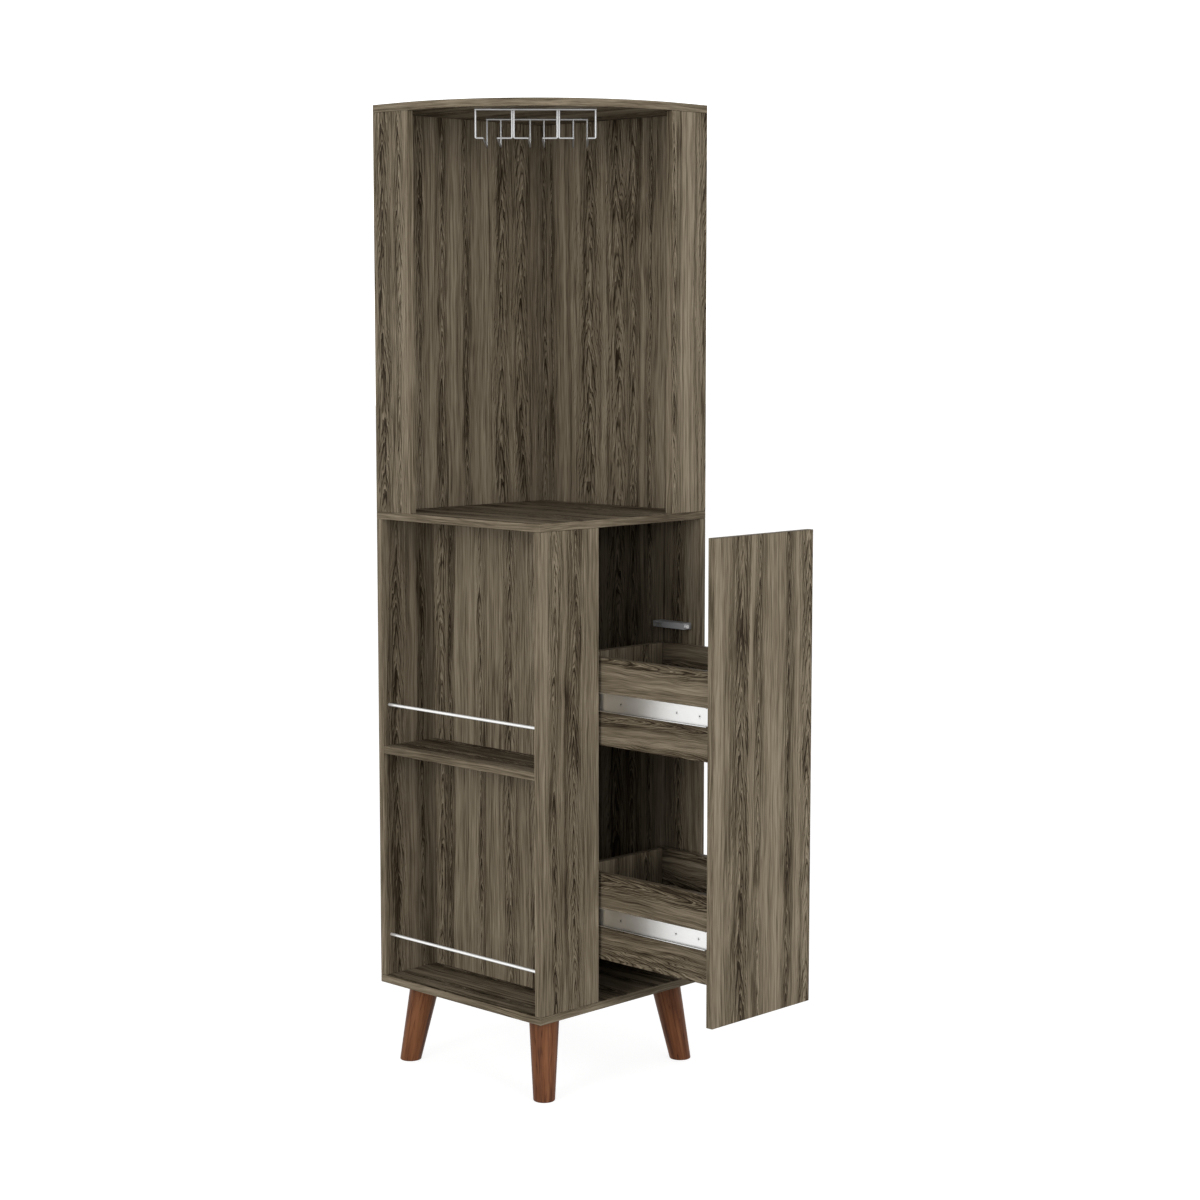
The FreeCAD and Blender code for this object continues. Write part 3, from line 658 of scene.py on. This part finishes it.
def new_piece(name, points, faces):
    """An object at the origin, with its place in its mesh."""
    mesh = bpy.data.meshes.new(name)
    mesh.from_pydata(points, [], faces)
    piece = bpy.data.objects.new(name, mesh)
    bpy.context.scene.collection.objects.link(piece)
    return piece


def coil_spring(name, front, length):
    """A round wire carried along a helix about X, from front to a point that lies length behind it.

    At an angle a the wire's middle is SPRING_RADIUS from the axis and a / (2 pi turns) of the way
    along. Each ring of the wire lies square to the helix, and the two ends are flat.
    """
    rings = SPRING_TURNS * SPRING_TURN_RINGS + 1
    angle = np.linspace(0.0, 2 * np.pi * SPRING_TURNS, rings)
    none = np.zeros(rings)
    outward = np.stack((none, np.cos(angle), np.sin(angle)), axis=1)
    along = np.stack((np.linspace(0.0, -length, rings), none, none), axis=1)
    middle = np.array(front) + along + SPRING_RADIUS * outward
    rise = -length / (2 * np.pi * SPRING_TURNS * SPRING_RADIUS)
    tangent = np.stack((none + rise, -np.sin(angle), np.cos(angle)), axis=1)
    tangent /= np.linalg.norm(tangent, axis=1, keepdims=True)
    aside = np.cross(tangent, outward)
    turn = np.linspace(0.0, 2 * np.pi, SPRING_RING_SIDES, endpoint=False)[None, :, None]
    ring = np.cos(turn) * outward[:, None] + np.sin(turn) * aside[:, None]
    points = (middle[:, None] + SPRING_WIRE_RADIUS * ring).reshape(-1, 3)
    index = np.arange(rings * SPRING_RING_SIDES).reshape(rings, SPRING_RING_SIDES)
    following = np.roll(index, -1, axis=1)
    sides = np.stack((index[:-1], following[:-1], following[1:], index[1:]), axis=2).reshape(-1, 4)
    faces = sides.tolist() + [index[0, ::-1].tolist(), index[-1].tolist()]
    spring = new_piece(name, points.tolist(), faces)
    spring.data.polygons.foreach_set("use_smooth", [True] * len(sides) + [False, False])
    return spring


def make_latch_springs(finish):
    """The two springs stand for their shared node, each wound between its own plunger and its fixed end.
    """
    for joint in frame["record"]["behaviour"]["joints"]:
        if not joint["name"].endswith("_latch_press"):
            continue
        latch = joint["name"].removesuffix("_press")
        low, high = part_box(latch + "_plunger")
        plunger_end = (low[X], (low[Y] + high[Y]) / 2, (low[Z] + high[Z]) / 2)
        fixed_end = joint["deforming_nodes"][0]["fixed_end_x_m"]
        room = plunger_end[X] - fixed_end
        end_gap = 2 * SPRING_WIRE_RADIUS
        front = np.array(plunger_end) - (end_gap, 0.0, 0.0)
        spring = coil_spring(latch + "_spring", front, room - 2 * end_gap)
        spring.data.materials.append(finish)
        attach(spring, joint["parent"])
        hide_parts("latch_springs")
        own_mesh(spring)


def dress_fittings():
    """Metals, plastics and dowels by their slots, then the slides' tracks and screws by their places, with
    painted shade in the channels and recesses.
    """
    finishes = {name: metal(name, **look) for name, look in METALS.items()}
    for name, look in PLASTICS.items():
        finishes[name] = moulded_plastic(name, **look)
    finishes["dowel_wood"] = turned_wood("dowel_beech", DOWEL_BEECH, 0.0, 0.0)
    for slot, finish in finishes.items():
        for node in nodes_in(slot):
            dress(node, finish)
    make_latch_springs(finishes["ball_steel"])
    zinc = METALS["slide_zinc"]
    for node in nodes:
        if node.endswith("_drawer_slide"):
            dress(node, metal(node + "_zinc", **zinc, painted_shade=painted_channel_shade(node)))
        elif node.endswith("_slide_screws"):
            dress(node, metal(node + "_zinc", **zinc, painted_shade=painted_recess_shade(node)))


def make_floor():
    """A floor as white as the walls, whose glow hardly lights the wood from below."""
    half = FLOOR_SIZE / 2
    corners = [(-half, -half, 0.0), (half, -half, 0.0), (half, half, 0.0), (-half, half, 0.0)]
    floor = new_piece("studio_floor", corners, [(0, 1, 2, 3)])
    material, w, surface = new_material("pale_floor")
    surface["Base Color"].default_value = FLOOR_COLOUR
    surface["Roughness"].default_value = FLOOR_ROUGHNESS
    surface["Specular IOR Level"].default_value = FLOOR_SPECULAR
    surface["Emission Color"].default_value = WHITE
    on_wood = w.tree.nodes.new("ShaderNodeLightPath").outputs["Is Diffuse Ray"]
    w.put(w.pick(on_wood, FLOOR_GLOW, FLOOR_GLOW_ON_WOOD), surface["Emission Strength"])
    material.cycles.emission_sampling = "NONE"
    floor.data.materials.append(material)


def softbox(name, place):
    """A rectangular light at a place, turned to the cabinet's middle."""
    light = bpy.data.lights.new(name, "AREA")
    light.shape = "RECTANGLE"
    light.size, light.size_y = SOFTBOX_SIZE
    light.energy = SOFTBOX_POWER
    lamp = bpy.data.objects.new(name, light)
    lamp.location = place
    aim = np.array(SOFTBOX_TARGET) - np.array(place)
    heading = math.atan2(-aim[X], aim[Y])
    pitch = math.atan2(aim[Z], math.hypot(aim[X], aim[Y]))
    lamp.rotation_euler = (math.pi / 2 + pitch, 0.0, heading)
    bpy.context.scene.collection.objects.link(lamp)


def make_light():
    """White walls that darken overhead, and two softboxes above the height of the cabinet's middle."""
    world = bpy.data.worlds.new("studio")
    world.use_nodes = True
    w = Wiring(world.node_tree)
    background = world.node_tree.nodes["Background"].inputs
    background["Color"].default_value = WHITE
    upward = w.split(w.coordinates()["Generated"])[Z]
    w.put(w.pick(w.rise(upward, *CEILING_RISE), WALL_GLOW, CEILING_GLOW), background["Strength"])
    bpy.context.scene.world = world
    for name, place in SOFTBOX_PLACES.items():
        softbox(name, place)
    bpy.context.scene.view_settings.view_transform = "Standard"


def make_camera():
    camera = bpy.data.objects.new("camera", bpy.data.cameras.new("camera"))
    camera.location = CAMERA_PLACE
    camera.rotation_euler = (math.radians(CAMERA_TILT_DEG), 0.0, math.radians(CAMERA_HEADING_DEG))
    camera.data.lens = CAMERA_LENS_MM
    camera.data.sensor_width = SENSOR_MM
    bpy.context.scene.collection.objects.link(camera)
    bpy.context.scene.camera = camera


dress_boards()
dress_legs()
dress_fittings()
make_floor()
make_light()
make_camera()
